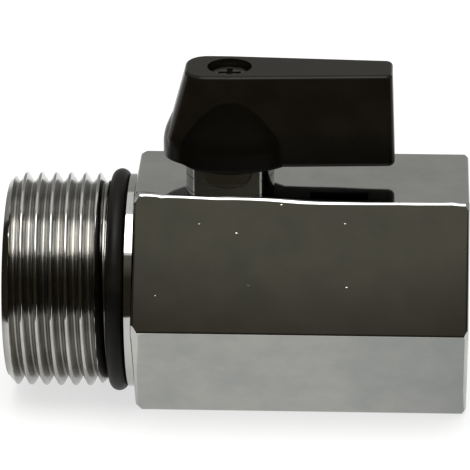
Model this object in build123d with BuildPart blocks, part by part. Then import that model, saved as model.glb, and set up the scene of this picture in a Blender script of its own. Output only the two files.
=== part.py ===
from build123d import *
import os
from math import sqrt

# Mini ball valve, male inlet thread by female outlet thread, with a quarter-turn lever.
# Frame: origin at the centre of the ball, +X along the bore towards the outlet, +Z up the stem.

os.makedirs("parts", exist_ok=True)

# Hexagonal body
across_flats = 28.0
hex_length = 40.65
hex_edge_radius = 0.5
corner_chamfer_radius = 15.5
inlet_corner_run = 0.9
outlet_corner_run = 0.6
end_edge_radius = 0.45

# Male inlet
inlet_thread_diameter = 26.44
inlet_thread_length = 12.42
inlet_lead_chamfer = 1.1
inlet_bore_diameter = 14.0
inlet_mouth_chamfer = 0.6
neck_length = 0.92

# Rubber ring behind the male thread
thread_ring_outside = 27.5
thread_ring_section = 2.2
thread_groove_width = 2.46

# Female outlet, bored to the minor diameter of its thread
outlet_minor_diameter = 18.63
outlet_thread_depth = 14.5
outlet_mouth_chamfer = 1.1

# Ball, seats and the chamber that holds them
stem_from_mouth = 29.2
ball_diameter = 16.8
port_diameter = 11.2
port_edge_radius = 0.35
chamber_diameter = 17.4
seat_bore_diameter = 11.6
seat_front = 4.4
seat_length = 4.4
seal_clearance = 0.05
fit_clearance = 0.03

# Threaded ring that closes the chamber
retainer_diameter = 18.2
retainer_length = 4.6
retainer_bore_diameter = 12.4
spanner_slot_width = 2.4
spanner_slot_depth = 1.8

# Stem, its washer and its two rubber rings
stem_diameter = 7.0
stem_running_clearance = 0.05
stem_flange_diameter = 8.4
stem_flange_thickness = 1.35
stem_flange_gap = 0.15
thrust_washer_thickness = 0.7
tang_thickness = 3.0
tang_width = 7.0
tang_clearance = 0.1
ball_slot_depth = 1.9
stem_ring_section = 1.25
stem_ring_squeeze_room = 0.03
stem_ring_spacing = 2.2
stem_groove_width = 1.6
stem_flat_distance = 5.0
stem_drive_length = 5.3

# Stem neck on the top flat, and the quarter-turn stop between it and the handle
collar_diameter = 10.8
collar_height = 2.35
collar_line_height = 0.85
collar_line_width = 0.12
collar_line_depth = 0.15
stop_lug_height = 0.85
stop_lug_diameter = 9.2
stop_lug_span = 132.0
stop_lug_start = 90.0
stop_clearance_angle = 3.0
stop_gap = 0.15

# Lever handle
handle_gap = 2.5
handle_height = 11.8
lever_reach = 20.1
lever_tip_lean = 0.4
lever_rear_top = 5.3
lever_rear_bottom = 7.6
lever_rear_thickness = 7.8
lever_tip_thickness = 5.6
lever_rear_radius = 2.6
lever_tip_radius = 0.9
lever_top_edge_radius = 0.5
lever_bottom_edge_radius = 0.6
hub_length = 16.2
hub_width = 11.6
hub_skirt_height = 3.3
hub_knee_radius = 6.0
hub_rim_radius = 0.35
hub_top_length = 9.5
hub_top_width = 6.5
hub_top_drop = 1.0
heel_start = 3.2
heel_end = 5.6
heel_rise = 0.65
lever_wall = 1.6
core_depth = 8.0
core_end_radius = 0.5

# Handle screw
screw_recess_diameter = 5.4
screw_recess_depth = 2.8
screw_head_diameter = 5.0
screw_head_height = 2.0
screw_head_round = 0.6
screw_diameter = 3.0
screw_length = 7.0
screw_hole_clearance = 0.2
cross_recess_length = 2.8
cross_recess_width = 0.7
cross_recess_depth = 1.2

# Places worked out from the sizes above
outlet_x = stem_from_mouth
shoulder_x = outlet_x - hex_length
groove_start_x = shoulder_x - neck_length
groove_end_x = groove_start_x - thread_groove_width
inlet_end_x = groove_end_x - inlet_thread_length
ball_radius = ball_diameter / 2
seat_back = seat_front + seat_length
flat_z = across_flats / 2
hex_corner_radius = across_flats / sqrt(3)
collar_top_z = flat_z + collar_height
flange_bottom_z = ball_radius + stem_flange_gap
flange_top_z = flange_bottom_z + stem_flange_thickness
washer_top_z = flange_top_z + thrust_washer_thickness
stem_radius = stem_diameter / 2
stem_bore_radius = stem_radius + stem_running_clearance
flange_pocket_radius = stem_flange_diameter / 2 + fit_clearance
handle_bottom_z = flat_z + handle_gap
handle_top_z = handle_bottom_z + handle_height
hub_knee_z = handle_bottom_z + hub_skirt_height
stop_lug_top_z = collar_top_z + stop_lug_height
stop_roof_z = stop_lug_top_z + stop_gap
drive_start_z = stop_roof_z - stop_gap
stem_top_z = drive_start_z + stem_drive_length
web_top_z = handle_top_z - screw_recess_depth


def draw_double_d(radius, flat_distance):
    """Round section with two flats that face +Y and -Y, drawn in the current sketch."""
    Circle(radius)
    Rectangle(2 * radius, flat_distance, mode=Mode.INTERSECT)


# Stop lugs: a ring sector on the neck and one under the handle, drawn about the stem axis
stop_lug_radius = stop_lug_diameter / 2
stop_pocket_radius = stop_lug_radius + stop_gap
handle_lug_start = stop_lug_start - stop_clearance_angle - stop_lug_span
lug_profiles = {}
for lug_name, inner_radius, outer_radius, start_angle in (
    ("neck", stem_bore_radius, stop_lug_radius, stop_lug_start),
    ("handle", stem_radius + stop_gap, stop_pocket_radius, handle_lug_start),
):
    with BuildSketch() as lug_profile:
        with BuildLine():
            inner_arc = CenterArc((0, 0), inner_radius, start_angle, stop_lug_span)
            outer_arc = CenterArc((0, 0), outer_radius, start_angle, stop_lug_span)
            Line(inner_arc @ 0, outer_arc @ 0)
            Line(inner_arc @ 1, outer_arc @ 1)
        make_face()
    lug_profiles[lug_name] = lug_profile.sketch

# Body: hexagon, turned inlet, stem neck, then every bore
with BuildPart() as body:
    with BuildSketch(Plane.YZ.offset(shoulder_x)):
        RegularPolygon(across_flats / 2, 6, major_radius=False)
    extrude(amount=hex_length)
    fillet(body.edges().filter_by(Axis.X), hex_edge_radius)
    with BuildSketch(Plane.XZ):
        with BuildLine():
            Polyline(
                (shoulder_x, 0),
                (shoulder_x, corner_chamfer_radius),
                (shoulder_x + inlet_corner_run, hex_corner_radius),
                (outlet_x - outlet_corner_run, hex_corner_radius),
                (outlet_x, corner_chamfer_radius),
                (outlet_x, 0),
                close=True,
            )
        make_face()
    revolve(axis=Axis.X, mode=Mode.INTERSECT)
    end_faces = body.faces().filter_by(Plane.YZ)
    fillet(end_faces.edges(), end_edge_radius)
    with BuildSketch(Plane.XZ):
        groove_floor = thread_ring_outside / 2 - thread_ring_section - fit_clearance
        with BuildLine():
            Polyline(
                (shoulder_x + hex_edge_radius, 0),
                (shoulder_x + hex_edge_radius, inlet_thread_diameter / 2),
                (groove_start_x, inlet_thread_diameter / 2),
                (groove_start_x, groove_floor),
                (groove_end_x, groove_floor),
                (groove_end_x, inlet_thread_diameter / 2),
                (inlet_end_x + inlet_lead_chamfer, inlet_thread_diameter / 2),
                (inlet_end_x, inlet_thread_diameter / 2 - inlet_lead_chamfer),
                (inlet_end_x, 0),
                close=True,
            )
        make_face()
    revolve(axis=Axis.X)
    with BuildSketch(Plane.XY):
        Circle(collar_diameter / 2)
    extrude(amount=collar_top_z)
    with BuildSketch(Plane.XY.offset(flat_z + collar_line_height)):
        Circle(collar_diameter / 2)
        Circle(collar_diameter / 2 - collar_line_depth, mode=Mode.SUBTRACT)
    extrude(amount=collar_line_width, mode=Mode.SUBTRACT)
    with BuildSketch(Plane.XY.offset(collar_top_z)):
        add(lug_profiles["neck"])
    extrude(amount=stop_lug_height)
    with BuildSketch(Plane.XZ):
        outlet_radius = outlet_minor_diameter / 2
        retainer_bore = retainer_diameter / 2 + fit_clearance
        inlet_radius = inlet_bore_diameter / 2
        with BuildLine():
            Polyline(
                (inlet_end_x, 0),
                (inlet_end_x, inlet_radius + inlet_mouth_chamfer),
                (inlet_end_x + inlet_mouth_chamfer, inlet_radius),
                (-seat_back, inlet_radius),
                (-seat_back, chamber_diameter / 2),
                (seat_back, chamber_diameter / 2),
                (seat_back, retainer_bore),
                (outlet_x - outlet_thread_depth, retainer_bore),
                (outlet_x - outlet_thread_depth, outlet_radius),
                (outlet_x - outlet_mouth_chamfer, outlet_radius),
                (outlet_x, outlet_radius + outlet_mouth_chamfer),
                (outlet_x, 0),
                close=True,
            )
        make_face()
    revolve(axis=Axis.X, mode=Mode.SUBTRACT)
    with BuildSketch(Plane.XY):
        Circle(stem_bore_radius)
    extrude(amount=collar_top_z, mode=Mode.SUBTRACT)
    with BuildSketch(Plane.XY):
        Circle(flange_pocket_radius)
    extrude(amount=washer_top_z, mode=Mode.SUBTRACT)
body.part.label = "body"
export_step(body.part, "parts/body.step")

# Rubber ring in the groove behind the male thread
with BuildPart() as thread_o_ring:
    with BuildSketch(Plane.XZ):
        ring_x = (groove_start_x + groove_end_x) / 2
        with Locations((ring_x, (thread_ring_outside - thread_ring_section) / 2)):
            Circle(thread_ring_section / 2)
    revolve(axis=Axis.X)
thread_o_ring.part.label = "thread_o_ring"
export_step(thread_o_ring.part, "parts/thread_o_ring.step")

# Seats: a ring on each side of the ball, hollowed to its sphere
pocket_radius = ball_radius + seal_clearance
seat_bore_radius = seat_bore_diameter / 2
seat_outer_radius = chamber_diameter / 2 - fit_clearance
pocket_rim = (seat_front, sqrt(pocket_radius**2 - seat_front**2))
pocket_throat = (sqrt(pocket_radius**2 - seat_bore_radius**2), seat_bore_radius)
for seat_name, side in (("outlet_seat", 1), ("inlet_seat", -1)):
    with BuildPart() as seat:
        with BuildSketch(Plane(origin=(0, 0, 0), x_dir=(side, 0, 0), z_dir=(0, -side, 0))):
            with BuildLine():
                RadiusArc(pocket_rim, pocket_throat, pocket_radius)
                Polyline(
                    pocket_throat,
                    (seat_back, seat_bore_radius),
                    (seat_back, seat_outer_radius),
                    (seat_front, seat_outer_radius),
                    pocket_rim,
                )
            make_face()
        revolve(axis=Axis.X)
    seat.part.label = seat_name
    export_step(seat.part, f"parts/{seat_name}.step")

# Retainer: threaded ring, turned in with a two-pin spanner
with BuildPart() as seat_retainer:
    with BuildSketch(Plane.YZ.offset(seat_back)):
        Circle(retainer_diameter / 2)
        Circle(retainer_bore_diameter / 2, mode=Mode.SUBTRACT)
    extrude(amount=retainer_length)
    with BuildSketch(Plane.YZ.offset(seat_back + retainer_length)):
        Rectangle(retainer_diameter, spanner_slot_width)
    extrude(amount=-spanner_slot_depth, mode=Mode.SUBTRACT)
seat_retainer.part.label = "seat_retainer"
export_step(seat_retainer.part, "parts/seat_retainer.step")

# Ball: sphere with its port along the bore and a drive slot across the top
with BuildPart() as ball:
    Sphere(ball_radius)
    with BuildSketch(Plane.YZ):
        Circle(port_diameter / 2)
    extrude(amount=ball_radius, both=True, mode=Mode.SUBTRACT)
    fillet(ball.edges(), port_edge_radius)
    with BuildSketch(Plane.XY.offset(ball_radius)):
        Rectangle(tang_thickness + 2 * tang_clearance, ball_diameter)
    extrude(amount=-ball_slot_depth, mode=Mode.SUBTRACT)
ball.part.label = "ball"
export_step(ball.part, "parts/ball.step")

# Stem: flange, ring grooves, drive tang below and double-D above
lower_ring_z = washer_top_z + stem_groove_width
upper_ring_z = lower_ring_z + stem_ring_spacing
ring_centre_radius = stem_bore_radius - stem_ring_squeeze_room - stem_ring_section / 2
ring_floor_radius = ring_centre_radius - stem_ring_section / 2 - stem_ring_squeeze_room
with BuildPart() as stem:
    with BuildSketch(Plane.XY.offset(flange_bottom_z)):
        Circle(stem_flange_diameter / 2)
    extrude(amount=stem_flange_thickness)
    with BuildSketch(Plane.XY.offset(flange_bottom_z)):
        Circle(stem_radius)
    extrude(amount=drive_start_z - flange_bottom_z)
    with BuildSketch(Plane.XY.offset(drive_start_z)):
        draw_double_d(stem_radius, stem_flat_distance)
    extrude(amount=stem_drive_length)
    with BuildSketch(Plane.XY.offset(ball_radius - ball_slot_depth + tang_clearance)):
        Rectangle(tang_thickness, tang_width)
    extrude(until=Until.NEXT)
    for ring_z in (lower_ring_z, upper_ring_z):
        with BuildSketch(Plane.XY.offset(ring_z)):
            Circle(stem_radius)
            Circle(ring_floor_radius, mode=Mode.SUBTRACT)
        extrude(amount=stem_groove_width / 2, both=True, mode=Mode.SUBTRACT)
    with BuildSketch(Plane.XY.offset(stem_top_z)):
        Circle(screw_diameter / 2 + fit_clearance)
    extrude(amount=web_top_z - screw_length - stem_top_z - screw_hole_clearance, mode=Mode.SUBTRACT)
stem.part.label = "stem"
export_step(stem.part, "parts/stem.step")

with BuildPart() as stem_thrust_washer:
    with BuildSketch(Plane.XY.offset(flange_top_z)):
        Circle(stem_flange_diameter / 2)
        Circle(stem_bore_radius, mode=Mode.SUBTRACT)
    extrude(amount=thrust_washer_thickness)
stem_thrust_washer.part.label = "stem_thrust_washer"
export_step(stem_thrust_washer.part, "parts/stem_thrust_washer.step")

# The two rubber rings in the stem's grooves
for ring_name, ring_z in (("stem_o_ring_lower", lower_ring_z), ("stem_o_ring_upper", upper_ring_z)):
    with BuildPart() as stem_o_ring:
        with BuildSketch(Plane.XZ):
            with Locations((ring_centre_radius, ring_z)):
                Circle(stem_ring_section / 2)
        revolve(axis=Axis.Z)
    stem_o_ring.part.label = ring_name
    export_step(stem_o_ring.part, f"parts/{ring_name}.step")

# Lever blade of the handle: a rounded rear and a leaning tip, tapered in plan from the stem on
rear_x = -lever_rear_bottom
rear_top_x = -lever_rear_top
tip_x = lever_reach
with BuildPart() as blade:
    with BuildSketch(Plane.XZ):
        with BuildLine():
            Polyline(
                (rear_x, handle_bottom_z),
                (rear_x, hub_knee_z),
                (rear_top_x, handle_top_z),
                (tip_x - lever_tip_lean, handle_top_z),
                (tip_x, handle_bottom_z),
                close=True,
            )
        make_face()
    extrude(amount=hub_width / 2, both=True)
    with BuildSketch(Plane.XY.offset(handle_bottom_z)):
        with BuildLine():
            Polyline(
                (rear_x, -lever_rear_thickness / 2),
                (0, -lever_rear_thickness / 2),
                (tip_x, -lever_tip_thickness / 2),
                (tip_x, lever_tip_thickness / 2),
                (0, lever_rear_thickness / 2),
                (rear_x, lever_rear_thickness / 2),
                close=True,
            )
        make_face()
    extrude(amount=handle_height, mode=Mode.INTERSECT)
    fillet(blade.faces().sort_by(Axis.X)[-1].edges().filter_by(Axis.Y, reverse=True), lever_tip_radius)
    rear_edges = blade.faces().filter_by(Axis.Z, reverse=True).sort_by(Axis.X)[:2].edges()
    fillet(rear_edges.filter_by(Axis.Y, reverse=True), lever_rear_radius)
    fillet(blade.faces().sort_by(Axis.Z)[-1].edges(), lever_top_edge_radius)
    fillet(blade.faces().sort_by(Axis.Z)[0].edges(), lever_bottom_edge_radius)

# Handle: the blade joined to an oval hub that flares down to a skirt, cut higher at the heel
socket_roof_z = stem_top_z + stop_gap
with BuildPart() as handle:
    with BuildSketch(Plane.XY.offset(hub_knee_z)):
        Ellipse(hub_length / 2, hub_width / 2)
    extrude(amount=-hub_skirt_height)
    with BuildSketch(Plane.XY.offset(hub_knee_z)):
        Ellipse(hub_length / 2, hub_width / 2)
    with BuildSketch(Plane.XY.offset(handle_top_z - hub_top_drop)):
        Ellipse(hub_top_length / 2, hub_top_width / 2)
    loft()
    fillet(handle.edges().sort_by(Axis.Z)[0], hub_rim_radius)
    fillet(handle.edges().filter_by_position(Axis.Z, hub_knee_z, hub_knee_z), hub_knee_radius)
    add(blade.part)
    with BuildSketch(Plane.XZ):
        with BuildLine():
            Polyline(
                (-heel_start, handle_bottom_z),
                (-heel_end, handle_bottom_z + heel_rise),
                (-hub_length, handle_bottom_z + heel_rise),
                (-hub_length, handle_bottom_z),
                close=True,
            )
        make_face()
    extrude(amount=hub_width, both=True, mode=Mode.SUBTRACT)
    with BuildSketch(Plane.XY.offset(handle_top_z)):
        Circle(screw_recess_diameter / 2)
    extrude(amount=-screw_recess_depth, mode=Mode.SUBTRACT)
    with BuildSketch(Plane.XY.offset(web_top_z)):
        Circle(screw_diameter / 2 + screw_hole_clearance)
    extrude(amount=socket_roof_z - web_top_z, mode=Mode.SUBTRACT)
    with BuildSketch(Plane.XY.offset(socket_roof_z)):
        draw_double_d(stem_radius + stem_running_clearance, stem_flat_distance + 2 * stem_running_clearance)
    extrude(amount=stop_roof_z - socket_roof_z, mode=Mode.SUBTRACT)
    with BuildSketch(Plane.XY.offset(handle_bottom_z)):
        Circle(stop_pocket_radius)
    extrude(amount=stop_roof_z - handle_bottom_z, mode=Mode.SUBTRACT)
    with BuildSketch(Plane.XY.offset(stop_roof_z)):
        add(lug_profiles["handle"])
    extrude(amount=handle_bottom_z - stop_roof_z)
    with BuildSketch(Plane.XY.offset(handle_bottom_z)):
        core_start_x = hub_length / 2 + lever_wall
        core_end_x = tip_x - 2 * lever_wall
        core_width = lever_tip_thickness - 2 * lever_wall
        with Locations(((core_start_x + core_end_x) / 2, 0)):
            RectangleRounded(core_end_x - core_start_x, core_width, core_end_radius)
    extrude(amount=core_depth, mode=Mode.SUBTRACT)
handle.part.label = "handle"
export_step(handle.part, "parts/handle.step")

# Screw: round head with a cross recess, sunk in the handle
with BuildPart() as handle_screw:
    with BuildSketch(Plane.XY.offset(web_top_z)):
        Circle(screw_head_diameter / 2)
    extrude(amount=screw_head_height)
    fillet(handle_screw.edges().sort_by(Axis.Z)[-1], screw_head_round)
    with BuildSketch(Plane.XY.offset(web_top_z)):
        Circle(screw_diameter / 2)
    extrude(amount=-screw_length)
    with BuildSketch(Plane.XY.offset(web_top_z + screw_head_height)):
        Rectangle(cross_recess_length, cross_recess_width)
        Rectangle(cross_recess_width, cross_recess_length)
    extrude(amount=-cross_recess_depth, mode=Mode.SUBTRACT)
handle_screw.part.label = "handle_screw"
export_step(handle_screw.part, "parts/handle_screw.step")
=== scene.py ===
import math

import bmesh
import bpy
from mathutils import Matrix, Vector


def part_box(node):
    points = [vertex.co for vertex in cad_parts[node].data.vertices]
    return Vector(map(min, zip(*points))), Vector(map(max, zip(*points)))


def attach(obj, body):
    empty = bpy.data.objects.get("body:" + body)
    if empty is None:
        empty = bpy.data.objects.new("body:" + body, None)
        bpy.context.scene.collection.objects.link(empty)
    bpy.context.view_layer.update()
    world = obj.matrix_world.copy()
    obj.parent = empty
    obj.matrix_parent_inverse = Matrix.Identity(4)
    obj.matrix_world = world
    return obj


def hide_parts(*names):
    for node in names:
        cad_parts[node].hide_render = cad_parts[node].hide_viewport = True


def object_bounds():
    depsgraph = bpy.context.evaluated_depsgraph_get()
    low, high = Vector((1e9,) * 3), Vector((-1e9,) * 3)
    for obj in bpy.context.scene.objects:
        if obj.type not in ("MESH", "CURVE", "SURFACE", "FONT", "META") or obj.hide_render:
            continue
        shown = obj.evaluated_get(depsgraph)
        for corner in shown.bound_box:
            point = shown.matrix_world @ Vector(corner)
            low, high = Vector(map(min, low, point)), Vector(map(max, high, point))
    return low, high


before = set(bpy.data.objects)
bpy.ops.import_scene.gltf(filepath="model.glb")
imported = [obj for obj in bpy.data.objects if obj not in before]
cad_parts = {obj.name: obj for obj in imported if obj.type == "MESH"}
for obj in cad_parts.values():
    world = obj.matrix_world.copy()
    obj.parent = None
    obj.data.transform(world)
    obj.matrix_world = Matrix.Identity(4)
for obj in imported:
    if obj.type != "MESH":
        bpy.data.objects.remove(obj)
cad_low, cad_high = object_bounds()

# Body: one brass forging, turned to a hexagon with a male pipe thread at the inlet and a
# female one at the outlet, then polished by hand and chrome plated. The two helical threads
# are swept here in place of the plain walls that carry them.

mm = 0.001
pitch = 1.8143 * mm
thread_depth = 1.162 * mm
crest_rounding = 0.34 * mm
inlet_major_radius = 13.22 * mm
inlet_lead_chamfer = 1.1 * mm
inlet_crest_phase = 0.657
inlet_mouth_radius = 7.6 * mm
groove_edge_x = -14.83 * mm
outlet_major_radius = 10.4775 * mm
outlet_minor_radius = 9.315 * mm
outlet_flare_radius = 10.415 * mm
outlet_thread_start_x = 14.7 * mm
thread_row_spacing = 0.055 * mm
thread_segments = 160
weld_distance = 0.001 * mm
seam_distance = 0.0001 * mm
sharp_angle = math.radians(32)
carried_normal_length = 0.5


def linear(colour):
    """sRGB hex to the linear RGBA that shader sockets take."""
    parts = [int(colour[i : i + 2], 16) / 255 for i in (1, 3, 5)]
    return [c / 12.92 if c <= 0.04045 else ((c + 0.055) / 1.055) ** 2.4 for c in parts] + [1.0]


def add_node(tree, kind, inputs=(), **settings):
    """Adds a node, sets its properties, and fills its inputs with values or links."""
    node = tree.nodes.new(kind)
    for name, value in settings.items():
        setattr(node, name, value)
    for key, value in inputs.items() if isinstance(inputs, dict) else enumerate(inputs):
        if isinstance(value, bpy.types.NodeSocket):
            tree.links.new(value, node.inputs[key])
        else:
            node.inputs[key].default_value = value
    return node


def start_material(name):
    """Empty material with its Principled shader wired to the output."""
    material = bpy.data.materials.new(name)
    material.use_nodes = True
    tree = material.node_tree
    tree.nodes.clear()
    shader = add_node(tree, "ShaderNodeBsdfPrincipled")
    add_node(tree, "ShaderNodeOutputMaterial", {"Surface": shader.outputs[0]})
    return material, tree, shader


# Chrome plate over polished brass: a bright mirror with the long soft waves of hand
# polishing, faint wiping scratches, a few nicks, and tarnish down in the thread roots; the
# inlet thread is also made darker towards the bottom. The scratches are drawn coarser than
# real ones, so that they show.
plating_colour = "#B7B6B2"
cloudy_plating_colour = "#ABACAA"
bare_brass_colour = "#A98E57"
tarnish_colour = "#4A4231"
grime_colour = "#17140F"
haze_size = 5.0 * mm
haze_start = 0.33
haze_full = 0.67
plating_end = 0.1 * mm
bore_middle_half_length = 5 * mm
bare_brass_share = 0.75
tarnish_full_x = -14.9 * mm
tarnish_end_x = -14.7 * mm
tarnish_root_radius = 12.15 * mm
tarnish_crest_radius = 13.1 * mm
root_tarnish = 0.45
cloud_tarnish_gain = 0.5
cloud_tarnish_offset = -0.27
underside_z = -8 * mm
lower_darkening_share = 0.32
speck_size = 0.7 * mm
speck_start = 0.65
speck_full = 0.82
speck_share = 0.85
wiping_stretch = (0.08, 1.0, 1.0)
scratch_width = 0.35 * mm
scratch_roughness = 0.09
mirror_roughness = 0.02
tarnish_roughness = 0.3
polish_wave_length = 6.5 * mm
polish_wave_height = 0.03 * mm
nick_stretch = (0.45, 1.0, 1.0)
nick_spacing = 1.7 * mm
nick_radius_share = 0.05
nick_depth = 0.018 * mm
chrome, tree, shader = start_material("chrome_plated_brass")
place = add_node(tree, "ShaderNodeTexCoord").outputs["Object"]
axes = add_node(tree, "ShaderNodeSeparateXYZ", {0: place}).outputs
off_axis = add_node(tree, "ShaderNodeCombineXYZ", {"Y": axes["Y"], "Z": axes["Z"]}).outputs[0]
radius = add_node(tree, "ShaderNodeVectorMath", {0: off_axis}, operation="LENGTH").outputs["Value"]
inlet_end = add_node(
    tree, "ShaderNodeMapRange",
    {
        "Value": axes["X"], "From Min": tarnish_full_x, "From Max": tarnish_end_x,
        "To Min": 1.0, "To Max": 0.0,
    },
).outputs[0]
thread_root = add_node(
    tree, "ShaderNodeMapRange",
    {
        "Value": radius, "From Min": tarnish_root_radius, "From Max": tarnish_crest_radius,
        "To Min": 1.0, "To Max": 0.0,
    },
).outputs[0]
bore_limit = add_node(
    tree, "ShaderNodeMapRange",
    {
        "Value": axes["X"], "From Min": -bore_middle_half_length, "From Max": bore_middle_half_length,
        "To Min": inlet_mouth_radius, "To Max": outlet_major_radius,
    },
).outputs[0]
past_bore = add_node(tree, "ShaderNodeMath", [radius, bore_limit], operation="SUBTRACT").outputs[0]
inside = add_node(
    tree, "ShaderNodeMapRange",
    {
        "Value": past_bore, "From Min": -plating_end, "From Max": plating_end,
        "To Min": bare_brass_share, "To Max": 0.0,
    },
).outputs[0]
cloud = add_node(
    tree, "ShaderNodeTexNoise",
    {"Vector": place, "Scale": 1 / haze_size, "Detail": 4.0, "Roughness": 0.6},
).outputs["Fac"]
speck = add_node(
    tree, "ShaderNodeTexNoise",
    {"Vector": place, "Scale": 1 / speck_size, "Detail": 3.0, "Roughness": 0.65},
).outputs["Fac"]
cloud_dirt = add_node(
    tree, "ShaderNodeMath", [cloud, cloud_tarnish_gain, cloud_tarnish_offset], operation="MULTIPLY_ADD"
).outputs[0]
# The inlet thread is also made darker towards the bottom.
lower_darkening = add_node(
    tree, "ShaderNodeMapRange",
    {"Value": axes["Z"], "From Min": 0.0, "From Max": underside_z, "To Max": lower_darkening_share},
).outputs[0]
cloud_dirt_and_lower_darkening = add_node(tree, "ShaderNodeMath", [cloud_dirt, lower_darkening], operation="ADD").outputs[0]
tarnish_and_darkening_spread = add_node(
    tree, "ShaderNodeMath", [thread_root, root_tarnish, cloud_dirt_and_lower_darkening],
    operation="MULTIPLY_ADD", use_clamp=True,
).outputs[0]
tarnish_and_darkening_level = add_node(tree, "ShaderNodeMath", [inlet_end, tarnish_and_darkening_spread], operation="MULTIPLY").outputs[0]
speck_level = add_node(
    tree, "ShaderNodeMapRange",
    {"Value": speck, "From Min": speck_start, "From Max": speck_full, "To Max": speck_share},
).outputs[0]
grime_level = add_node(tree, "ShaderNodeMath", [inlet_end, speck_level], operation="MULTIPLY").outputs[0]
haze = add_node(
    tree, "ShaderNodeMapRange", {"Value": cloud, "From Min": haze_start, "From Max": haze_full}
).outputs[0]
hazed = add_node(
    tree, "ShaderNodeMix",
    {"Factor": haze, 6: linear(plating_colour), 7: linear(cloudy_plating_colour)}, data_type="RGBA",
).outputs[2]
plated = add_node(
    tree, "ShaderNodeMix", {"Factor": inside, 6: hazed, 7: linear(bare_brass_colour)}, data_type="RGBA"
).outputs[2]
# Tarnish in the thread roots, and the inlet thread made darker towards the bottom.
tarnished_and_darkened = add_node(
    tree, "ShaderNodeMix", {"Factor": tarnish_and_darkening_level, 6: plated, 7: linear(tarnish_colour)}, data_type="RGBA"
).outputs[2]
dirty = add_node(
    tree, "ShaderNodeMix", {"Factor": grime_level, 6: tarnished_and_darkened, 7: linear(grime_colour)}, data_type="RGBA"
).outputs[2]
wiped = add_node(tree, "ShaderNodeMapping", {"Vector": place, "Scale": wiping_stretch}).outputs[0]
scratch = add_node(
    tree, "ShaderNodeTexNoise", {"Vector": wiped, "Scale": 1 / scratch_width, "Detail": 2.0}
).outputs["Fac"]
wiped_gloss = add_node(
    tree, "ShaderNodeMath", [scratch, scratch_roughness, mirror_roughness], operation="MULTIPLY_ADD"
).outputs[0]
gloss = add_node(
    tree, "ShaderNodeMath", [tarnish_and_darkening_level, tarnish_roughness, wiped_gloss], operation="MULTIPLY_ADD"
).outputs[0]
wave = add_node(
    tree, "ShaderNodeTexNoise", {"Vector": place, "Scale": 1 / polish_wave_length, "Detail": 1.0}
).outputs["Fac"]
polish = add_node(
    tree, "ShaderNodeBump", {"Strength": 1.0, "Distance": polish_wave_height, "Height": wave}
).outputs[0]
drawn_out = add_node(tree, "ShaderNodeMapping", {"Vector": place, "Scale": nick_stretch}).outputs[0]
nick_centre = add_node(
    tree, "ShaderNodeTexVoronoi", {"Vector": drawn_out, "Scale": 1 / nick_spacing, "Randomness": 1.0}
).outputs["Distance"]
nick = add_node(
    tree, "ShaderNodeMapRange", {"Value": nick_centre, "From Min": 0.0, "From Max": nick_radius_share}
).outputs[0]
nicked = add_node(
    tree, "ShaderNodeBump",
    {"Strength": 1.0, "Distance": nick_depth, "Height": nick, "Normal": polish},
).outputs[0]
tree.links.new(dirty, shader.inputs["Base Color"])
tree.links.new(gloss, shader.inputs["Roughness"])
tree.links.new(nicked, shader.inputs["Normal"])
shader.inputs["Metallic"].default_value = 1.0

# Whitworth helix as a rule: the wall's radius follows a rounded triangle wave of the axial
# place less the turn, cut by the run-out and the lead chamfer outside or opened by the mouth
# flare inside.
half_turn = 0.5
flank_steepness = 3.0
flank_start = -0.25
helix = bpy.data.node_groups.new("helical_thread", "GeometryNodeTree")
for label, kind in (
    ("Start", "Float"), ("End", "Float"), ("Rows", "Int"), ("Segments", "Int"), ("Pitch", "Float"),
    ("Major Radius", "Float"), ("Depth", "Float"), ("Rounding", "Float"), ("Phase", "Float"),
    ("Lead Radius", "Float"), ("Flare Radius", "Float"), ("Run-out Radius", "Float"),
    ("Finish", "Material"),
):
    helix.interface.new_socket(name=label, in_out="INPUT", socket_type="NodeSocket" + kind)
helix.interface.new_socket(name="Geometry", in_out="OUTPUT", socket_type="NodeSocketGeometry")
given = add_node(helix, "NodeGroupInput").outputs
grid = add_node(
    helix, "GeometryNodeMeshGrid",
    {"Size X": 1.0, "Size Y": 1.0, "Vertices X": given["Rows"], "Vertices Y": given["Segments"]},
).outputs["Mesh"]
position = add_node(helix, "GeometryNodeInputPosition").outputs[0]
spot = add_node(helix, "ShaderNodeSeparateXYZ", {0: position}).outputs
axial = add_node(
    helix, "ShaderNodeMapRange",
    {"Value": spot["X"], "From Min": -0.5, "From Max": 0.5, "To Min": given["Start"], "To Max": given["End"]},
).outputs[0]
turn = add_node(helix, "ShaderNodeMath", [spot["Y"], half_turn], operation="ADD").outputs[0]
turns_along = add_node(helix, "ShaderNodeMath", [axial, given["Pitch"]], operation="DIVIDE").outputs[0]
unwound = add_node(helix, "ShaderNodeMath", [turns_along, turn], operation="SUBTRACT").outputs[0]
phase = add_node(helix, "ShaderNodeMath", [unwound, given["Phase"]], operation="ADD").outputs[0]
saw = add_node(helix, "ShaderNodeMath", [phase, half_turn], operation="PINGPONG").outputs[0]
tooth = add_node(
    helix, "ShaderNodeMath", [saw, flank_steepness, flank_start], operation="MULTIPLY_ADD"
).outputs[0]
flank = add_node(helix, "ShaderNodeMath", [tooth, given["Depth"]], operation="MULTIPLY").outputs[0]
crest = add_node(
    helix, "ShaderNodeMath", [flank, given["Depth"], given["Rounding"]], operation="SMOOTH_MIN"
).outputs[0]
ridge = add_node(helix, "ShaderNodeMath", [crest, 0.0, given["Rounding"]], operation="SMOOTH_MAX").outputs[0]
root = add_node(
    helix, "ShaderNodeMath", [given["Major Radius"], given["Depth"]], operation="SUBTRACT"
).outputs[0]
wall = add_node(helix, "ShaderNodeMath", [root, ridge], operation="ADD").outputs[0]
to_start = add_node(helix, "ShaderNodeMath", [axial, given["Start"]], operation="SUBTRACT").outputs[0]
from_start = add_node(helix, "ShaderNodeMath", [to_start], operation="ABSOLUTE").outputs[0]
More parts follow.
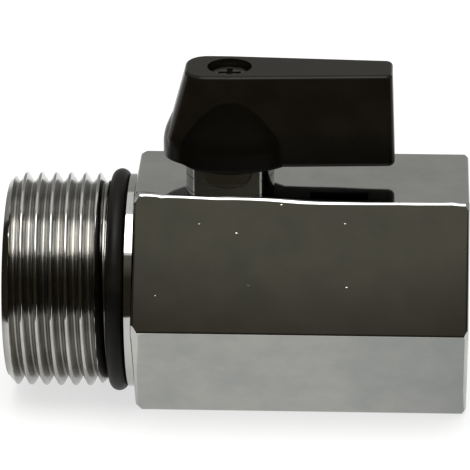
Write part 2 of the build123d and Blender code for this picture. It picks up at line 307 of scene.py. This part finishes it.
run_out = add_node(
    helix, "ShaderNodeMath", [given["Run-out Radius"], from_start], operation="ADD"
).outputs[0]
ended = add_node(helix, "ShaderNodeMath", [wall, run_out], operation="MINIMUM").outputs[0]
to_end = add_node(helix, "ShaderNodeMath", [axial, given["End"]], operation="SUBTRACT").outputs[0]
from_end = add_node(helix, "ShaderNodeMath", [to_end], operation="ABSOLUTE").outputs[0]
lead = add_node(helix, "ShaderNodeMath", [given["Lead Radius"], from_end], operation="ADD").outputs[0]
led = add_node(helix, "ShaderNodeMath", [ended, lead], operation="MINIMUM").outputs[0]
flare = add_node(helix, "ShaderNodeMath", [given["Flare Radius"], from_end], operation="SUBTRACT").outputs[0]
flared = add_node(helix, "ShaderNodeMath", [led, flare], operation="MAXIMUM").outputs[0]
angle = add_node(helix, "ShaderNodeMath", [turn, math.tau], operation="MULTIPLY").outputs[0]
sideways = add_node(helix, "ShaderNodeMath", [angle], operation="COSINE").outputs[0]
upwards = add_node(helix, "ShaderNodeMath", [angle], operation="SINE").outputs[0]
out_y = add_node(helix, "ShaderNodeMath", [flared, sideways], operation="MULTIPLY").outputs[0]
out_z = add_node(helix, "ShaderNodeMath", [flared, upwards], operation="MULTIPLY").outputs[0]
swept = add_node(helix, "ShaderNodeCombineXYZ", [axial, out_y, out_z]).outputs[0]
placed = add_node(helix, "GeometryNodeSetPosition", {"Geometry": grid, "Position": swept}).outputs[0]
joined = add_node(
    helix, "GeometryNodeMergeByDistance", {"Geometry": placed, "Distance": weld_distance}
).outputs[0]
real = add_node(helix, "GeometryNodeRealizeInstances", {0: joined}).outputs[0]
dressed = add_node(
    helix, "GeometryNodeSetMaterial", {"Geometry": real, "Material": given["Finish"]}
).outputs[0]
add_node(helix, "NodeGroupOutput", {0: dressed})


def sweep_thread(name, sizes):
    """Plain mesh of one thread wall, made by the helix rule with the sizes given."""
    maker = bpy.data.objects.new(name, bpy.data.meshes.new(name))
    bpy.context.scene.collection.objects.link(maker)
    modifier = maker.modifiers.new("helix", "NODES")
    modifier.node_group = helix
    for item in helix.interface.items_tree:
        if item.in_out == "INPUT":
            modifier[item.identifier] = sizes[item.name]
    evaluated = maker.evaluated_get(bpy.context.evaluated_depsgraph_get())
    swept_mesh = bpy.data.meshes.new_from_object(evaluated)
    bpy.data.objects.remove(maker)
    return swept_mesh


body_low, body_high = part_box("body")
shared = {
    "Pitch": pitch, "Depth": thread_depth, "Rounding": crest_rounding,
    "Segments": thread_segments, "Finish": chrome,
}
inlet_thread = sweep_thread("inlet_thread", {
    **shared,
    "Start": groove_edge_x, "End": body_low.x,
    "Rows": round((groove_edge_x - body_low.x) / thread_row_spacing),
    "Major Radius": inlet_major_radius, "Phase": inlet_crest_phase,
    "Lead Radius": inlet_major_radius - inlet_lead_chamfer, "Flare Radius": 0.0,
    "Run-out Radius": inlet_major_radius - thread_depth,
})
outlet_thread = sweep_thread("outlet_thread", {
    **shared,
    "Start": outlet_thread_start_x, "End": body_high.x,
    "Rows": round((body_high.x - outlet_thread_start_x) / thread_row_spacing),
    "Major Radius": outlet_major_radius, "Phase": 0.0,
    "Lead Radius": outlet_flare_radius, "Flare Radius": outlet_flare_radius,
    "Run-out Radius": outlet_major_radius,
})

# The forging's own surface comes over with its true normals, less the two plain thread walls.
plain_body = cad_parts["body"].data
shape = bmesh.new()
shape.from_mesh(plain_body)
true_normal = shape.loops.layers.float_vector.new("true_normal")
for face, polygon in zip(shape.faces, plain_body.polygons):
    for loop, corner in zip(face.loops, polygon.loop_indices):
        loop[true_normal] = plain_body.corner_normals[corner].vector
bmesh.ops.remove_doubles(shape, verts=shape.verts, dist=weld_distance)


def off_bore(vertex):
    """Distance of a vertex from the bore axis."""
    return math.hypot(vertex.co.y, vertex.co.z)


def is_thread_wall(face):
    """True for the plain walls that the swept threads replace."""
    at_inlet = all(
        v.co.x < groove_edge_x + weld_distance and off_bore(v) > inlet_mouth_radius - weld_distance
        for v in face.verts
    )
    at_outlet = all(
        v.co.x > outlet_thread_start_x - weld_distance
        and outlet_minor_radius - weld_distance < off_bore(v) < outlet_flare_radius + weld_distance
        for v in face.verts
    )
    return at_inlet or at_outlet


bmesh.ops.delete(shape, geom=[f for f in shape.faces if is_thread_wall(f)], context="FACES")

# Hand polishing has carried the upper front edge back towards the inlet and left it broader in
# places. Each row below is a place along the bore, how far the edge has gone back over the flat
# there, and how much broader it is.
polished_edge = (
    (-11.5, 2.0, 0.0), (-10.8, 2.0, 0.0), (-10.4, 1.72, 0.3), (-9.9, 1.95, 0.0), (-8.6, 1.75, 0.0),
    (-8.1, 1.35, 0.3), (-7.6, 1.5, 0.1), (-5.8, 1.48, 0.1), (-1.3, 1.05, 0.2), (1.0, 1.12, 0.1),
    (3.4, 1.0, 0.25), (5.6, 0.72, 0.5), (7.6, 0.3, 0.7), (9.4, 0.06, 0.55), (11.0, 0.0, 0.4),
    (13.5, 0.0, 0.3), (17.0, 0.06, 0.1), (20.9, 0.2, 0.0), (23.0, 0.16, 0.1), (25.9, 0.26, 0.0),
    (27.0, 0.3, 0.25), (28.0, 0.05, 0.1), (29.3, 0.0, 0.0),
)
edge_y = -8.083 * mm
edge_z = 14.0 * mm
edge_reach = 2.4 * mm
edge_falloff = 1.4
edge_front_y = -8.227 * mm
edge_breadth = 0.433 * mm
edge_step = 0.5 * mm


def edge_share(vertex):
    """How far a vertex goes with the polished edge: fully at the edge, not at all past its reach."""
    away = math.hypot(vertex.co.y - edge_y, vertex.co.z - edge_z) / edge_reach
    return min(1.0, max(0.0, edge_falloff - edge_falloff * away))


def edge_shift(point):
    """Distance that polishing has carried a point of the edge back over the flat."""
    across = min(1.0, max(0.0, (point.y - edge_front_y) / edge_breadth))
    for near_row, far_row in zip(polished_edge, polished_edge[1:]):
        near_x, near_back, near_broad = near_row
        far_x, far_back, far_broad = far_row
        if point.x <= far_x * mm:
            share = (point.x / mm - near_x) / (far_x - near_x)
            gone_back = near_back + share * (far_back - near_back)
            broader = near_broad + share * (far_broad - near_broad)
            return (gone_back + across * broader) * mm
    return 0.0


edge_start_x = polished_edge[0][0] * mm
cut_count = round((body_high.x - edge_start_x) / edge_step)
for cut in range(1, cut_count):
    near = [f for f in shape.faces if any(edge_share(v) > 0 for v in f.verts)]
    around = {part for f in near for part in (f, *f.edges, *f.verts)}
    cut_x = edge_start_x + cut * edge_step
    bmesh.ops.bisect_plane(
        shape, geom=list(around), dist=weld_distance, plane_co=(cut_x, 0, 0), plane_no=(1, 0, 0)
    )
for vertex in shape.verts:
    vertex.co.y += edge_share(vertex) * edge_shift(vertex.co)

shape.from_mesh(inlet_thread)
shape.from_mesh(outlet_thread)
for ring_x in (groove_edge_x, body_low.x, outlet_thread_start_x, body_high.x):
    rim = [
        e for e in shape.edges
        if e.is_boundary and all(abs(v.co.x - ring_x) < weld_distance for v in e.verts)
    ]
    for face in bmesh.ops.bridge_loops(shape, edges=rim)["faces"]:
        for loop in face.loops:
            loop[true_normal] = (0, 0, 0)
bmesh.ops.remove_doubles(shape, verts=shape.verts, dist=seam_distance)
bmesh.ops.recalc_face_normals(shape, faces=shape.faces)
for face in shape.faces:
    face.smooth = True
    face.material_index = 0
for edge in shape.edges:
    edge.smooth = edge.calc_face_angle(0.0) < sharp_angle
body_mesh = bpy.data.meshes.new("threaded_body")
shape.to_mesh(body_mesh)
shape.free()
body_mesh.attributes.remove(body_mesh.attributes["custom_normal"])
own_normals = [corner.vector.copy() for corner in body_mesh.corner_normals]
carried = [corner.vector.copy() for corner in body_mesh.attributes["true_normal"].data]
body_mesh.attributes.remove(body_mesh.attributes["true_normal"])
body_mesh.normals_split_custom_set([
    true.normalized() if true.length > carried_normal_length else own
    for true, own in zip(carried, own_normals)
])
body_mesh.materials.clear()
body_mesh.materials.append(chrome)
threaded_body = bpy.data.objects.new("threaded_body", body_mesh)
bpy.context.scene.collection.objects.link(threaded_body)
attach(threaded_body, "valve_body")
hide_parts("body")

# Ball: turned from brass, hard chromed and lapped so that it slides on its seats, and driven by
# the stem's tang in its top slot. A clear mirror with the faintest haze of lapping.

ball_colour = "#CFCFCE"
lapping_haze_size = 3.0 * mm
lapped_roughness = 0.01
lapping_haze_roughness = 0.1
ball_chrome, tree, shader = start_material("lapped_hard_chrome")
place = add_node(tree, "ShaderNodeTexCoord").outputs["Object"]
haze = add_node(
    tree, "ShaderNodeTexNoise", {"Vector": place, "Scale": 1 / lapping_haze_size, "Detail": 3.0}
).outputs["Fac"]
gloss = add_node(
    tree, "ShaderNodeMath", [haze, lapping_haze_roughness, lapped_roughness], operation="MULTIPLY_ADD"
).outputs[0]
tree.links.new(gloss, shader.inputs["Roughness"])
shader.inputs["Base Color"].default_value = linear(ball_colour)
shader.inputs["Metallic"].default_value = 1.0
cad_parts["ball"].data.materials[0] = ball_chrome

# Seats and thrust washer: turned from white PTFE bar, pressed into the chamber round the
# ball and over the stem's flange. Waxy white with a fine uneven skin, drawn coarser to show.

ptfe_colour = "#E9E8E2"
ptfe_ior = 1.35
wax_size = 0.4 * mm
wax_height = 0.01 * mm
wax_roughness = 0.35
wax_roughness_spread = 0.15
ptfe, tree, shader = start_material("turned_ptfe")
place = add_node(tree, "ShaderNodeTexCoord").outputs["Object"]
waxy = add_node(
    tree, "ShaderNodeTexNoise", {"Vector": place, "Scale": 1 / wax_size, "Detail": 2.0}
).outputs["Fac"]
skin = add_node(
    tree, "ShaderNodeBump", {"Strength": 0.4, "Distance": wax_height, "Height": waxy}
).outputs[0]
gloss = add_node(
    tree, "ShaderNodeMath", [waxy, wax_roughness_spread, wax_roughness], operation="MULTIPLY_ADD"
).outputs[0]
tree.links.new(skin, shader.inputs["Normal"])
tree.links.new(gloss, shader.inputs["Roughness"])
shader.inputs["Base Color"].default_value = linear(ptfe_colour)
shader.inputs["IOR"].default_value = ptfe_ior
for node_name in ("inlet_seat", "outlet_seat", "stem_thrust_washer"):
    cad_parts[node_name].data.materials[0] = ptfe

# Retainer and stem: turned from brass bar and left bare, the retainer screwed in against the
# outlet seat and the stem fitted from inside. Yellow metal, browned in patches, with turning
# marks that are drawn coarser to show.

brass_colour = "#C9A865"
browned_colour = "#8A6A38"
browning_size = 2.5 * mm
browning_start = 0.32
turning_mark_size = 0.3 * mm
turning_mark_height = 0.01 * mm
turned_roughness = 0.14
turned_roughness_spread = 0.2
brass, tree, shader = start_material("turned_brass")
place = add_node(tree, "ShaderNodeTexCoord").outputs["Object"]
mottle = add_node(
    tree, "ShaderNodeTexNoise", {"Vector": place, "Scale": 1 / browning_size, "Detail": 4.0}
).outputs["Fac"]
fine = add_node(
    tree, "ShaderNodeTexNoise", {"Vector": place, "Scale": 1 / turning_mark_size, "Detail": 1.0}
).outputs["Fac"]
browning = add_node(
    tree, "ShaderNodeMapRange", {"Value": mottle, "From Min": browning_start, "From Max": 1.0}
).outputs[0]
bar = add_node(
    tree, "ShaderNodeMix",
    {"Factor": browning, 6: linear(brass_colour), 7: linear(browned_colour)}, data_type="RGBA",
).outputs[2]
marks = add_node(
    tree, "ShaderNodeBump", {"Strength": 0.5, "Distance": turning_mark_height, "Height": fine}
).outputs[0]
gloss = add_node(
    tree, "ShaderNodeMath", [fine, turned_roughness_spread, turned_roughness], operation="MULTIPLY_ADD"
).outputs[0]
tree.links.new(bar, shader.inputs["Base Color"])
tree.links.new(gloss, shader.inputs["Roughness"])
tree.links.new(marks, shader.inputs["Normal"])
shader.inputs["Metallic"].default_value = 1.0
for node_name in ("seat_retainer", "stem"):
    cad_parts[node_name].data.materials[0] = brass

# Sealing rings: moulded nitrile rubber, one stretched into the groove behind the male thread
# and two small ones on the stem. Dull black with a faint greasy bloom and a moulded grain,
# drawn coarser to show.

rubber_colour = "#080704"
bloom_colour = "#15120D"
rubber_ior = 1.5
rubber_specular = 0.12
rubber_grain_size = 0.25 * mm
rubber_grain_height = 0.02 * mm
bloom_size = 2.8 * mm
bloom_start = 0.45
bloom_full = 0.95
rubber_roughness = 0.36
bloom_roughness = 0.2
rubber, tree, shader = start_material("moulded_nitrile")
place = add_node(tree, "ShaderNodeTexCoord").outputs["Object"]
grain = add_node(
    tree, "ShaderNodeTexNoise", {"Vector": place, "Scale": 1 / rubber_grain_size, "Detail": 3.0}
).outputs["Fac"]
bloom = add_node(
    tree, "ShaderNodeTexNoise", {"Vector": place, "Scale": 1 / bloom_size, "Detail": 3.0}
).outputs["Fac"]
bloom_level = add_node(
    tree, "ShaderNodeMapRange", {"Value": bloom, "From Min": bloom_start, "From Max": bloom_full}
).outputs[0]
bloomed = add_node(
    tree, "ShaderNodeMix",
    {"Factor": bloom_level, 6: linear(rubber_colour), 7: linear(bloom_colour)}, data_type="RGBA",
).outputs[2]
skin = add_node(
    tree, "ShaderNodeBump", {"Strength": 0.5, "Distance": rubber_grain_height, "Height": grain}
).outputs[0]
gloss = add_node(
    tree, "ShaderNodeMath", [bloom, bloom_roughness, rubber_roughness], operation="MULTIPLY_ADD"
).outputs[0]
tree.links.new(bloomed, shader.inputs["Base Color"])
tree.links.new(gloss, shader.inputs["Roughness"])
tree.links.new(skin, shader.inputs["Normal"])
shader.inputs["IOR"].default_value = rubber_ior
shader.inputs["Specular IOR Level"].default_value = rubber_specular
for node_name in ("thread_o_ring", "stem_o_ring_lower", "stem_o_ring_upper"):
    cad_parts[node_name].data.materials[0] = rubber

# Handle: lever moulded in black nylon and pushed on the stem's flats. Semi-gloss, with the blade
# lighter in colour than the deep black hub and scuffed. A band of painted shade is left black along
# the crease where hub and blade meet, the colour is darker towards the bottom, and the underside is
# dull. The mould's grain is drawn coarser to show.

plastic_colour = "#060503"
blade_tone_colour = "#0F0C07"
scuff_colour = "#17140D"
blade_rear_half_thickness = 3.9 * mm
blade_tip_half_thickness = 2.8 * mm
blade_tip_x = 20.1 * mm
blade_tone_start = 0.01 * mm
blade_tone_end = 0.15 * mm
hub_tone_start = 0.4 * mm
hub_tone_full = 1.3 * mm
hub_tone_share = 0.3
dark_foot_height = 0.5 * mm
full_tone_height = 5 * mm
underside_height = 0.6 * mm
underside_roughness = 0.6
nylon_ior = 1.53
nylon_specular = 0.1
nylon_grain_size = 0.3 * mm
nylon_grain_height = 0.012 * mm
nylon_roughness = 0.2
rub_size = 4.0 * mm
rub_start = 0.44
rub_roughness = 0.08
handle_bottom_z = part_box("handle")[0].z
plastic, tree, shader = start_material("moulded_black_nylon")
place = add_node(tree, "ShaderNodeTexCoord").outputs["Object"]
grain = add_node(
    tree, "ShaderNodeTexNoise", {"Vector": place, "Scale": 1 / nylon_grain_size, "Detail": 2.0}
).outputs["Fac"]
rub = add_node(
    tree, "ShaderNodeTexNoise", {"Vector": place, "Scale": 1 / rub_size, "Detail": 4.0}
).outputs["Fac"]
rub_level = add_node(
    tree, "ShaderNodeMapRange", {"Value": rub, "From Min": rub_start, "From Max": 1.0}
).outputs[0]
axes = add_node(tree, "ShaderNodeSeparateXYZ", {0: place}).outputs
blade_half = add_node(
    tree, "ShaderNodeMapRange",
    {
        "Value": axes["X"], "From Min": 0.0, "From Max": blade_tip_x,
        "To Min": blade_rear_half_thickness, "To Max": blade_tip_half_thickness,
    },
).outputs[0]
off_centre = add_node(tree, "ShaderNodeMath", [axes["Y"]], operation="ABSOLUTE").outputs[0]
past_blade = add_node(tree, "ShaderNodeMath", [off_centre, blade_half], operation="SUBTRACT").outputs[0]
# Just past the blade the colour stays at the hub's black: a band of painted shade along the crease where hub
# and blade meet.
blade_tone = add_node(
    tree, "ShaderNodeMapRange",
    {
        "Value": past_blade, "From Min": blade_tone_start, "From Max": blade_tone_end,
        "To Min": 1.0, "To Max": 0.0,
    },
).outputs[0]
hub_tone_rise = add_node(
    tree, "ShaderNodeMapRange",
    {
        "Value": past_blade, "From Min": hub_tone_start, "From Max": hub_tone_full,
        "To Max": hub_tone_share,
    },
).outputs[0]
tone_with_crease_shade = add_node(tree, "ShaderNodeMath", [blade_tone, hub_tone_rise], operation="MAXIMUM").outputs[0]
# The colour is darker towards the bottom of the handle.
tone_above_foot = add_node(
    tree, "ShaderNodeMapRange",
    {
        "Value": axes["Z"],
        "From Min": handle_bottom_z + dark_foot_height, "From Max": handle_bottom_z + full_tone_height,
    },
).outputs[0]
blade_tone_and_crease_shade = add_node(tree, "ShaderNodeMath", [tone_with_crease_shade, tone_above_foot], operation="MULTIPLY").outputs[0]
# The blade is given a lighter colour than the hub, and the crease band of painted shade keeps the hub's
# black.
toned_nylon = add_node(
    tree, "ShaderNodeMix",
    {"Factor": blade_tone_and_crease_shade, 6: linear(plastic_colour), 7: linear(blade_tone_colour)}, data_type="RGBA",
).outputs[2]
scuff_level = add_node(tree, "ShaderNodeMath", [rub_level, blade_tone_and_crease_shade], operation="MULTIPLY").outputs[0]
scuffed = add_node(
    tree, "ShaderNodeMix",
    {"Factor": scuff_level, 6: toned_nylon, 7: linear(scuff_colour)}, data_type="RGBA",
).outputs[2]
skin = add_node(
    tree, "ShaderNodeBump", {"Strength": 0.35, "Distance": nylon_grain_height, "Height": grain}
).outputs[0]
rubbed_gloss = add_node(
    tree, "ShaderNodeMath", [rub, rub_roughness, nylon_roughness], operation="MULTIPLY_ADD"
).outputs[0]
underside = add_node(
    tree, "ShaderNodeMapRange",
    {
        "Value": axes["Z"], "From Min": handle_bottom_z, "From Max": handle_bottom_z + underside_height,
        "To Min": underside_roughness, "To Max": 0.0,
    },
).outputs[0]
gloss = add_node(tree, "ShaderNodeMath", [rubbed_gloss, underside], operation="ADD").outputs[0]
tree.links.new(scuffed, shader.inputs["Base Color"])
tree.links.new(gloss, shader.inputs["Roughness"])
tree.links.new(skin, shader.inputs["Normal"])
shader.inputs["IOR"].default_value = nylon_ior
shader.inputs["Specular IOR Level"].default_value = nylon_specular
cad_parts["handle"].data.materials[0] = plastic

# Handle screw: cold-headed steel with bright zinc, driven into the stem through the handle's
# recess. Grey metal, slightly dull in patches.

zinc_colour = "#7E7B74"
dull_zinc_colour = "#4C4842"
spangle_size = 0.6 * mm
zinc_roughness = 0.2
dull_zinc_roughness = 0.25
zinc, tree, shader = start_material("bright_zinc_steel")
place = add_node(tree, "ShaderNodeTexCoord").outputs["Object"]
spangle = add_node(
    tree, "ShaderNodeTexNoise", {"Vector": place, "Scale": 1 / spangle_size, "Detail": 3.0}
).outputs["Fac"]
coated = add_node(
    tree, "ShaderNodeMix",
    {"Factor": spangle, 6: linear(zinc_colour), 7: linear(dull_zinc_colour)}, data_type="RGBA",
).outputs[2]
gloss = add_node(
    tree, "ShaderNodeMath", [spangle, dull_zinc_roughness, zinc_roughness], operation="MULTIPLY_ADD"
).outputs[0]
tree.links.new(coated, shader.inputs["Base Color"])
tree.links.new(gloss, shader.inputs["Roughness"])
shader.inputs["Metallic"].default_value = 1.0
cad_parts["handle_screw"].data.materials[0] = zinc

# Stage: a pale floor, one overhead softbox, a dark card curved round the front, a grey one
# behind and a pale one on the floor, so that the chrome has something plain to mirror. The
# cards are no lamps but glow with fixed colours, darker low down on the front card and towards
# the outlet on the floor card, and show in gloss alone as painted reflections.

floor_radius = 2.5
floor_segments = 96
floor_roughness = 0.9
floor_glow = 0.65
floor_colour = "#F4F4F2"
white_colour = "#FFFFFF"
front_card_centre_x = 8 * mm
front_card_radius = 64 * mm
front_card_top = 64 * mm
front_card_dark_top = 26 * mm
front_card_pale_foot = 47 * mm
front_card_left = math.radians(-100)
front_card_right = math.radians(82)
front_card_steps = 40
back_card_half_width = 4.0
back_card_y = 800 * mm
back_card_top = 900 * mm
floor_card_lift = 0.2 * mm
floor_card_left_x = -11.4 * mm
floor_card_front_y = -45 * mm
floor_card_back_y = -8.2 * mm
floor_card_fade_x = 10 * mm
front_card_low_colour = "#332E26"
front_card_high_colour = "#69675C"
back_card_colour = "#AFAFAD"
floor_card_inlet_colour = "#DADBD9"
floor_card_outlet_colour = "#C4C7C7"
softbox_size = 0.74
softbox_height = 0.85
softbox_forward = 0.24
softbox_power = 7.0
fill_strength = 0.8

floor_mesh = bpy.data.meshes.new("floor")
disc = bmesh.new()
bmesh.ops.create_circle(disc, cap_ends=True, segments=floor_segments, radius=floor_radius)
bmesh.ops.translate(disc, verts=disc.verts, vec=(0, 0, cad_low.z))
disc.to_mesh(floor_mesh)
disc.free()
floor_finish, tree, shader = start_material("pale_floor")
shader.inputs["Base Color"].default_value = linear(floor_colour)
shader.inputs["Roughness"].default_value = floor_roughness
rays = add_node(tree, "ShaderNodeLightPath").outputs
mirrored = add_node(
    tree, "ShaderNodeMath", [rays["Is Glossy Ray"], rays["Is Transmission Ray"]], operation="MAXIMUM"
).outputs[0]
shown = add_node(
    tree, "ShaderNodeMath", [rays["Is Camera Ray"], mirrored], operation="MAXIMUM"
).outputs[0]
glow_share = add_node(tree, "ShaderNodeMath", [shown, floor_glow], operation="MULTIPLY").outputs[0]
glow = add_node(tree, "ShaderNodeEmission", {"Color": linear(white_colour), "Strength": 1.0}).outputs[0]
surface = add_node(tree, "ShaderNodeMixShader", [glow_share, shader.outputs[0], glow]).outputs[0]
tree.links.new(surface, tree.nodes["Material Output"].inputs["Surface"])
floor_mesh.materials.append(floor_finish)
floor = bpy.data.objects.new("floor", floor_mesh)
bpy.context.scene.collection.objects.link(floor)

front_angles = [
    front_card_left + (front_card_right - front_card_left) * step / front_card_steps
    for step in range(front_card_steps + 1)
]
front_foot = [
    (
        front_card_centre_x + front_card_radius * math.sin(angle),
        -front_card_radius * math.cos(angle),
        cad_low.z,
    )
    for angle in front_angles
]
front_head = [(x, y, front_card_top) for x, y, z in front_foot]
back_foot = [(side * back_card_half_width, back_card_y, cad_low.z) for side in (-1, 1)]
back_head = [(x, y, back_card_top) for x, y, z in back_foot]
floor_card_z = cad_low.z + floor_card_lift
floor_foot = [(x, floor_card_front_y, floor_card_z) for x in (floor_card_left_x, body_high.x)]
floor_head = [(x, floor_card_back_y, z) for x, y, z in floor_foot]
for card_name, foot, head, axis, start, stop, start_colour, stop_colour in (
    (
        "front_card", front_foot, front_head, "Z", front_card_dark_top, front_card_pale_foot,
        front_card_low_colour, front_card_high_colour,
    ),
    ("back_card", back_foot, back_head, "Z", 0.0, back_card_top, back_card_colour, back_card_colour),
    (
        "floor_card", floor_foot, floor_head, "X", floor_card_fade_x, body_high.x,
        floor_card_inlet_colour, floor_card_outlet_colour,
    ),
):
    card_mesh = bpy.data.meshes.new(card_name)
    count = len(foot)
    panels = [(i, i + 1, count + i + 1, count + i) for i in range(count - 1)]
    card_mesh.from_pydata(foot + head, [], panels)
    card_glow = bpy.data.materials.new(card_name)
    card_glow.use_nodes = True
    tree = card_glow.node_tree
    tree.nodes.clear()
    place = add_node(tree, "ShaderNodeTexCoord").outputs["Object"]
    along = add_node(tree, "ShaderNodeSeparateXYZ", {0: place}).outputs[axis]
    fade = add_node(
        tree, "ShaderNodeMapRange", {"Value": along, "From Min": start, "From Max": stop}
    ).outputs[0]
    tint = add_node(
        tree, "ShaderNodeMix",
        {"Factor": fade, 6: linear(start_colour), 7: linear(stop_colour)}, data_type="RGBA",
    ).outputs[2]
    # Each card glows with its fixed colour, a painted reflection for the chrome.
    paint = add_node(tree, "ShaderNodeEmission", {"Color": tint, "Strength": 1.0}).outputs[0]
    add_node(tree, "ShaderNodeOutputMaterial", {"Surface": paint})
    card_mesh.materials.append(card_glow)
    card = bpy.data.objects.new(card_name, card_mesh)
    card.visible_camera = False
    card.visible_diffuse = False
    card.visible_shadow = False
    bpy.context.scene.collection.objects.link(card)

softbox_light = bpy.data.lights.new("softbox", "AREA")
softbox_light.shape = "DISK"
softbox_light.size = softbox_size
softbox_light.energy = softbox_power
softbox = bpy.data.objects.new("softbox", softbox_light)
softbox.location = (0, -softbox_forward, softbox_height)
softbox.rotation_euler = (-softbox.location).to_track_quat("-Z", "Y").to_euler()
bpy.context.scene.collection.objects.link(softbox)

world = bpy.data.worlds.new("studio")
world.use_nodes = True
tree = world.node_tree
tree.nodes.clear()
rays = add_node(tree, "ShaderNodeLightPath").outputs
mirrored = add_node(
    tree, "ShaderNodeMath", [rays["Is Glossy Ray"], rays["Is Transmission Ray"]], operation="MAXIMUM"
).outputs[0]
shown = add_node(
    tree, "ShaderNodeMath", [rays["Is Camera Ray"], mirrored], operation="MAXIMUM"
).outputs[0]
level = add_node(
    tree, "ShaderNodeMapRange", {"Value": shown, "To Min": fill_strength, "To Max": 1.0}
).outputs[0]
sky = add_node(tree, "ShaderNodeBackground", {"Color": linear(white_colour), "Strength": level}).outputs[0]
add_node(tree, "ShaderNodeOutputWorld", {"Surface": sky})
bpy.context.scene.world = world

# Camera: a long lens a little above the valve and almost square to its side, rolled by a third
# of a degree. Its place is worked out from the point that it aims at.

camera_azimuth = math.radians(2.730)
camera_elevation = math.radians(23.135)
camera_roll = math.radians(-0.330)
camera_distance = 0.4808
camera_aim = Vector((0.541, 0.0, 6.138)) * mm
camera_lens = 299.3
camera_sensor = 36.0
camera_data = bpy.data.cameras.new("camera")
camera_data.sensor_width = camera_sensor
camera_data.lens = camera_lens
camera_data.clip_start = 0.01
camera_data.clip_end = 10.0
camera = bpy.data.objects.new("camera", camera_data)
bpy.context.scene.collection.objects.link(camera)
back = Vector((
    math.sin(camera_azimuth) * math.cos(camera_elevation),
    -math.cos(camera_azimuth) * math.cos(camera_elevation),
    math.sin(camera_elevation),
))
level_right = Vector((math.cos(camera_azimuth), math.sin(camera_azimuth), 0.0))
level_up = back.cross(level_right)
right = math.cos(camera_roll) * level_right + math.sin(camera_roll) * level_up
up = -math.sin(camera_roll) * level_right + math.cos(camera_roll) * level_up
facing = Matrix((right, up, back)).transposed().to_4x4()
camera.matrix_world = Matrix.Translation(camera_aim + camera_distance * back) @ facing
bpy.context.scene.camera = camera
bpy.context.scene.view_settings.view_transform = "Standard"
